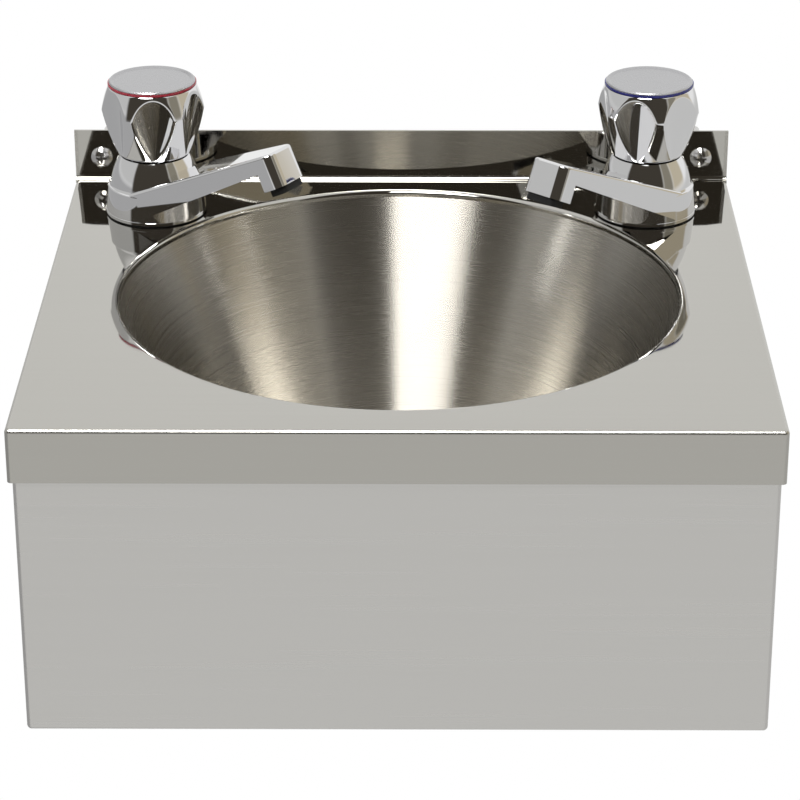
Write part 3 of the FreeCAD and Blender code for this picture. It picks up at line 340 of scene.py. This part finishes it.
# --- Skirt ------------------------------------------------------------------------------------
# A second folded sheet, with a duller mill finish, that goes round the front and the two sides
# and tucks up inside the deck's lip.
skirt_steel = finish("satin_steel", (0.67, 0.66, 0.645), (0.27, 0.34), grain=(9, 9, 500),
                     bump=0.01, tint=0.01)
wear(nodes["skirt"], skirt_steel)

# --- Wall screws ------------------------------------------------------------------------------
# Two dome-headed steel screws with a cross recess, one near each end of the upstand. They go
# through it into the wall and hold the sink up.
screw_steel = finish("screw_steel", (0.62, 0.61, 0.60), (0.12, 0.22), grain=(900, 900, 900))
wear(nodes["wall_screws"], screw_steel)

# --- Waste ------------------------------------------------------------------------------------
# The flanged grid waste in the bowl's floor, a chromed fitting whose nut clamps it from below
# between two rubber seals.
waste_chrome = finish("waste_chrome", (0.72, 0.72, 0.72), (0.08, 0.16), grain=(300, 300, 300))
black_rubber = finish("black_rubber", (0.018, 0.018, 0.018), (0.55, 0.72), metallic=0.0,
                      grain=(900, 900, 900), bump=0.1, tint=0.2)
for name in ("waste_body", "waste_nut"):
    wear(nodes[name], waste_chrome)
for name in ("waste_top_seal", "waste_lower_seal"):
    wear(nodes[name], black_rubber)

# --- Tap bodies -------------------------------------------------------------------------------
# Two chromed brass castings on black seals. Each has a round drum with a bell on it, and a spout
# whose flat sides run out of the drum and close in towards a rounded nozzle with a black insert.
chrome = finish("chrome", (0.80, 0.80, 0.81), (0.02, 0.045), grain=(60, 60, 60), bump=0.01, tint=0.01)
black_plastic = finish("black_plastic", (0.012, 0.012, 0.012), (0.3, 0.42), metallic=0.0,
                       grain=(700, 700, 700), tint=0.2)
black_plastic.node_tree.nodes["Principled BSDF"].inputs["Specular IOR Level"].default_value = 0.15

# Heights are above the deck's top, and reaches and radii are from the tap's own axis.
tail_radius = 0.01048
tail_bore = 0.0065
tail_end = -0.050
nut_foot = -0.0162  # under this, a groove ends the tail's thread
relief_length = 0.0012
relief_depth = 0.0005
seal_top = 0.0007
base_radius = 0.0228
base_edge = 0.0020
drum_foot = 0.0227  # the drum's radius at its foot, then at its top
drum_top = 0.02172
drum_height = 0.0132
drum_edge = 0.0008
bell_foot = 0.0205  # the bell's radius at its foot, where it rises from the drum
bell_rise = 0.0146
bell_arc = 0.036  # the bell's flank, seen from the side
bell_top = 0.0156
bell_height = 0.0278
cup_radius = 0.0144  # the cup in the bell's top takes the bonnet's hexagon
cup_floor = 0.0226
chamber_radius = 0.0102  # the valve chamber below it, with the seat on its floor
chamber_floor = 0.0025
seat_radius = 0.0072
seat_top = 0.0040
seat_bore = 0.0050
bell_outline = [
    (tail_bore, tail_end),
    (tail_radius, tail_end),
    (tail_radius, nut_foot - relief_length),
    (tail_radius - relief_depth, nut_foot - relief_length),
    (tail_radius - relief_depth, nut_foot),
    (tail_radius, nut_foot),
    (tail_radius, seal_top),
    (base_radius, seal_top),
    (base_radius, base_edge),
    (drum_foot, base_edge + base_radius - drum_foot),
    (drum_top, drum_height),
]
bell_outline += arc((drum_top, drum_height), (drum_top - drum_edge, drum_height + drum_edge), drum_edge, 5)
bell_outline += [(bell_foot, bell_rise)]
bell_outline += arc((bell_foot, bell_rise), (bell_top, bell_height), bell_arc, 24)
bell_outline += [
    (cup_radius, bell_height),
    (cup_radius, cup_floor),
    (chamber_radius, cup_floor),
    (chamber_radius, chamber_floor),
    (seat_radius, chamber_floor),
    (seat_radius, seat_top),
    (seat_bore, seat_top),
    (seat_bore, chamber_floor - seat_bore),
    (tail_bore, chamber_floor - tail_bore),
]

outlet_reach = 0.0720  # the middle of the nozzle's rim
outlet_height = 0.0274
nozzle_tilt = math.radians(26)
nozzle_thickness = 0.0091


def nozzle_point(along, below):
    """A point given along the nozzle's rim from its middle, and below the rim on the nozzle's axis."""
    return (outlet_reach + along * math.cos(nozzle_tilt) + below * math.sin(nozzle_tilt),
            outlet_height + along * math.sin(nozzle_tilt) - below * math.cos(nozzle_tilt))


root_reach = 0.001  # the spout starts in the middle of the drum
root_half = 0.02225  # half its width there
root_top = 0.0147
root_under = 0.0030
under_reach = 0.006  # where its underside begins to rise
nose_top = (0.0694, 0.0432)
rim_front = nozzle_point(nozzle_thickness / 2, 0)
rim_back = nozzle_point(-nozzle_thickness / 2, 0)
crook = (0.0642, 0.0330)  # the inner corner between spout and nozzle
spout_side = [(root_reach, root_top), nose_top, rim_front, rim_back, crook,
              (under_reach, root_under), (root_reach, root_under)]
rim_half = 0.0092  # half the width at the nozzle's rim
draft_height = 0.0065  # the height at which the root's width is taken
spout_draft = math.radians(5)
nose_radius = 0.0044
edge_radius = 0.0013
socket_half = 0.0029  # half the socket's opening along the spout
socket_width = 0.0136
socket_depth = 0.0090
insert_lip = 0.0009  # the metal left round the insert
insert_proud = 0.0032
insert_seated = 0.0050
insert_gap = 0.0001
insert_way = 0.0017  # half the width of the water's way through
insert_thick = nozzle_thickness - 2 * insert_lip
insert_wide = 2 * (rim_half - insert_lip - insert_gap)


def spout_half(reach, height):
    """Half the spout's width. Its two flat sides close in along it, and upwards as the mould needs."""
    narrowest = rim_half + (outlet_height - draft_height) * math.tan(spout_draft)
    along = (reach - root_reach) / (outlet_reach + nozzle_thickness - root_reach)
    return root_half + (narrowest - root_half) * along - (height - draft_height) * math.tan(spout_draft)


def nozzle_block(thick, wide, above, below):
    """A block on the nozzle's axis, from a height above its rim to one below it."""
    reach, height = nozzle_point(0, (below - above) / 2)
    bpy.ops.object.select_all(action="DESELECT")
    bpy.ops.mesh.primitive_cube_add(size=1, location=(reach, 0, height), rotation=(0, -nozzle_tilt, 0),
                                    scale=(thick, wide, above + below))
    bpy.ops.object.transform_apply(location=True, rotation=True, scale=True)
    return bpy.context.object


def round_off(piece, wanted, radius, segments):
    """Rounds the edges that a test picks by their two ends."""
    only(piece)
    bpy.ops.object.mode_set(mode="EDIT")
    bpy.ops.mesh.select_mode(type="EDGE")
    bpy.ops.mesh.select_all(action="DESELECT")
    shape = bmesh.from_edit_mesh(piece.data)
    for edge in shape.edges:
        edge.select_set(wanted(edge.verts[0].co, edge.verts[1].co))
    bmesh.update_edit_mesh(piece.data)
    bpy.ops.mesh.bevel(offset=radius, segments=segments, affect="EDGES")
    bpy.ops.object.mode_set(mode="OBJECT")


def stands_at(corner, point):
    """Whether a corner stands at a point of the spout's side view."""
    return math.dist((corner.x, corner.z), point) < 1e-5


def is_nose_edge(one, two):
    """Whether an edge is one of the nozzle's two front corners."""
    down = stands_at(one, nose_top) and stands_at(two, rim_front)
    up = stands_at(two, nose_top) and stands_at(one, rim_front)
    return (down or up) and one.y * two.y > 0


def is_on_top(corner):
    """Whether a corner is on the spout's sloping top."""
    slope = (nose_top[1] - root_top) / (nose_top[0] - root_reach)
    return abs(root_top + (corner.x - root_reach) * slope - corner.z) < 2e-5


def is_top_edge(one, two):
    """Whether an edge goes round the spout's top, past its root."""
    return is_on_top(one) and is_on_top(two) and max(one.x, two.x) > root_reach + 1e-4


def is_insert_corner(one, two):
    """Whether an edge is one of the insert's two upright front corners."""
    forward = outlet_reach + 0.3 * insert_thick
    return one.y * two.y > 0 and min(one.x, two.x) > forward and abs(one.z - two.z) > insert_proud / 2


def stand(piece, side, height, bearing=0.0):
    """Stands a piece modelled at the origin on a tap's axis, turned to its bearing."""
    low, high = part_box(side + "_index_disc")
    only(piece)
    piece.rotation_euler.z = bearing
    piece.location = ((low[0] + high[0]) / 2, (low[1] + high[1]) / 2, height)
    bpy.ops.object.transform_apply(location=True, rotation=True, scale=True)


# One bell, spout and insert are modelled at the origin. The spout starts as a prism with its side
# view's corners, and is cut away where the cup and the valve chamber are.
bell = turned("bell", (0.0, 0.0), bell_outline)
bpy.ops.object.select_all(action="DESELECT")
bpy.ops.mesh.primitive_cylinder_add(vertices=len(spout_side), radius=1, depth=2)
arm = bpy.context.object
shape = bmesh.new()
shape.from_mesh(arm.data)
for corner in shape.verts:
    step = round(math.atan2(corner.co.x, corner.co.y) / (2 * math.pi) * len(spout_side))
    reach, height = spout_side[step % len(spout_side)]
    corner.co = (reach, math.copysign(spout_half(reach, height), corner.co.z), height)
bmesh.ops.recalc_face_normals(shape, faces=shape.faces)
shape.to_mesh(arm.data)
shape.free()
round_off(arm, is_nose_edge, nose_radius, 8)
round_off(arm, is_top_edge, edge_radius, 4)
core_radius = (chamber_radius + cup_radius) / 2
core_length = 0.2
bpy.ops.object.select_all(action="DESELECT")
bpy.ops.mesh.primitive_cylinder_add(vertices=96, radius=core_radius, depth=core_length)
boolean(arm, bpy.context.object, "DIFFERENCE")
boolean(arm, nozzle_block(2 * socket_half, socket_width, socket_depth, insert_proud), "DIFFERENCE")

plug_thick = 2 * (socket_half - insert_gap)
plug_wide = socket_width - 2 * insert_gap
nozzle_insert = nozzle_block(insert_thick, insert_wide, 0, insert_proud)
round_off(nozzle_insert, is_insert_corner, nose_radius - insert_lip, 8)
boolean(nozzle_insert, nozzle_block(plug_thick, plug_wide, insert_seated, insert_proud / 2), "UNION")
boolean(nozzle_insert, nozzle_block(2 * insert_way, 2 * insert_way, 2 * insert_seated, 2 * insert_proud),
        "DIFFERENCE")

spout_bearings = {"hot": math.radians(-31.5), "cold": math.radians(227.9)}
casting_smooth = 30
for side, bearing in spout_bearings.items():
    casting = copied(bell, side + "_tap_casting")
    stand(casting, side, deck_top)
    spout = copied(arm, side + "_spout")
    stand(spout, side, deck_top, bearing)
    boolean(casting, spout, "UNION")
    smooth_weighted(casting, casting_smooth)
    wear(casting, chrome)
    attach(casting, "root")
    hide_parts(side + "_tap_body")

    insert = copied(nozzle_insert, side + "_insert")
    stand(insert, side, deck_top, bearing)
    smooth(insert, casting_smooth)
    wear(insert, black_plastic)
    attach(insert, "root")
    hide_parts(side + "_outlet_insert")
    wear(nodes[side + "_base_seal"], black_rubber)
for pattern in (bell, arm, nozzle_insert):
    bpy.data.objects.remove(pattern)

# --- Headworks --------------------------------------------------------------------------------
# The working parts of each tap: a chromed bonnet with a brass spindle, nuts and jumper in it, and
# fibre and rubber washers. Under the deck, a plastic washer and a brass nut hold the tap down.
brass = finish("brass", (0.72, 0.50, 0.22), (0.22, 0.36), grain=(400, 400, 400), bump=0.03, tint=0.08)
red_fibre = finish("red_fibre", (0.30, 0.07, 0.04), (0.6, 0.75), metallic=0.0, grain=(900, 900, 900),
                   bump=0.1, tint=0.15)
white_plastic = finish("white_plastic", (0.78, 0.78, 0.76), (0.35, 0.5), metallic=0.0,
                       grain=(300, 300, 300), tint=0.02)
headwork_finishes = (
    (brass, ("back_nut", "gland_nut", "jumper", "washer_nut", "spindle")),
    (chrome, ("bonnet",)),
    (red_fibre, ("bonnet_washer",)),
    (white_plastic, ("top_hat_washer",)),
    (black_rubber, ("spindle_seal", "seat_washer")),
)
for side in ("hot", "cold"):
    for material, pieces in headwork_finishes:
        for piece in pieces:
            wear(nodes[side + "_" + piece], material)

# --- Handles ----------------------------------------------------------------------------------
# A chromed barrel head on each tap, with six scallops that fingers grip. It is hollow below, over
# the headwork, and has a well on top for its screw. The casting's edges are softened by polishing.
foot_height = 0.0290
foot_radius = 0.01675
belly_radius = 0.0231
brow_radius = 0.0196
hollow_radius = 0.0140
well_radius = 0.0136
spline_radius = 0.0039
screw_radius = 0.0021
# Each rise is above the head's foot.
belly_rise = 0.0205
brow_rise = 0.0320
hollow_rise = 0.0172
well_rise = 0.0270
spline_rise = 0.0260
belly_arc = 0.100
brow_arc = 0.045
softness = 0.0004
# A scallop is cut by a cone whose point is inside the head and whose axis leans from upright.
scallops = 6
scallop_apex = 0.0165
scallop_rise = -0.0008
scallop_axis = math.radians(52.90)
scallop_spread = math.radians(46)
scallop_blend = 0.0007
first_scallops = {"hot": -85, "cold": -110}


def scallop_depth(turn, rise):
    """Distance from the head's axis to the cone that cuts a scallop, or None beside it."""
    across, along = math.sin(scallop_axis), math.cos(scallop_axis)
    squeeze = math.cos(scallop_spread) ** 2
    level = rise - scallop_rise
    reach = along * level - across * scallop_apex
    a = (across * math.cos(turn)) ** 2 - squeeze
    b = 2 * math.cos(turn) * (across * reach + scallop_apex * squeeze)
    c = reach ** 2 - squeeze * (scallop_apex ** 2 + level ** 2)
    inside = b * b - 4 * a * c
    if inside < 0 or abs(a) < 1e-9:
        return None
    hits = [(-b + sign * math.sqrt(inside)) / (2 * a) for sign in (-1, 1)]
    hits = [hit for hit in hits if hit > 0 and across * hit * math.cos(turn) + reach > 0]
    return min(hits) if hits else None


def softly_least(first, second, blend):
    """The smaller of two lengths, rounded where they meet."""
    near = max(blend - abs(first - second), 0) / blend
    return min(first, second) - near * near * blend / 4


def cut_scallops(head, first):
    """Draws in the head's wall to the scallops, the first of them at a bearing in degrees."""
    pitch = 360 / scallops
    shape = bmesh.new()
    shape.from_mesh(head.data)
    for corner in shape.verts:
        out = math.hypot(corner.co.x, corner.co.y)
        if out < foot_radius - 2 * softness:
            continue
        bearing = math.degrees(math.atan2(corner.co.y, corner.co.x)) - first
        turn = math.radians((bearing + pitch / 2) % pitch - pitch / 2)
        depth = scallop_depth(turn, corner.co.z)
        if depth:
            wide = softly_least(out, depth, scallop_blend)
            corner.co.x *= wide / out
            corner.co.y *= wide / out
    shape.to_mesh(head.data)
    shape.free()


barrel_outline = [(hollow_radius, 0), (foot_radius - softness, 0), (foot_radius, softness)]
belly = (belly_radius, belly_rise)
barrel_outline += arc((foot_radius, softness), belly, belly_arc, 40)
barrel_outline += arc(belly, (brow_radius + softness / 2, brow_rise - softness), brow_arc, 24)
barrel_outline += [
    (brow_radius - softness, brow_rise),
    (well_radius, brow_rise),
    (well_radius, well_rise),
    (screw_radius, well_rise),
    (screw_radius, spline_rise),
    (spline_radius, spline_rise),
    (spline_radius, hollow_rise),
    (hollow_radius, hollow_rise),
]
barrel = turned("barrel", (0.0, 0.0), barrel_outline, 240)
for side, first_scallop in first_scallops.items():
    head = copied(barrel, side + "_head")
    cut_scallops(head, first_scallop)
    stand(head, side, deck_top + foot_height)
    smooth(head, 40)
    wear(head, chrome)
    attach(head, side + "_handle")
    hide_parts(side + "_handle")
    wear(nodes[side + "_handle_screw"], brass)
bpy.data.objects.remove(barrel)

# --- Index rings and discs --------------------------------------------------------------------
# A thin red or blue plastic ring shows which tap is hot. A pressed disc with a fine turned finish,
# slightly hollow inside its rim, covers the handle's screw.
ring_red = finish("hot_red", (0.26, 0.015, 0.03), (0.22, 0.32), metallic=0.0,
                  grain=(300, 300, 300), tint=0.1)
ring_blue = finish("cold_blue", (0.012, 0.014, 0.12), (0.22, 0.32), metallic=0.0,
                   grain=(300, 300, 300), tint=0.1)
disc_chrome = finish("disc_chrome", (0.49, 0.49, 0.505), (0.24, 0.3), grain=(120, 120, 120), tint=0.02)
for side, colour in (("hot", ring_red), ("cold", ring_blue)):
    wear(nodes[side + "_index_ring"], colour)
    wear(nodes[side + "_index_disc"], disc_chrome)
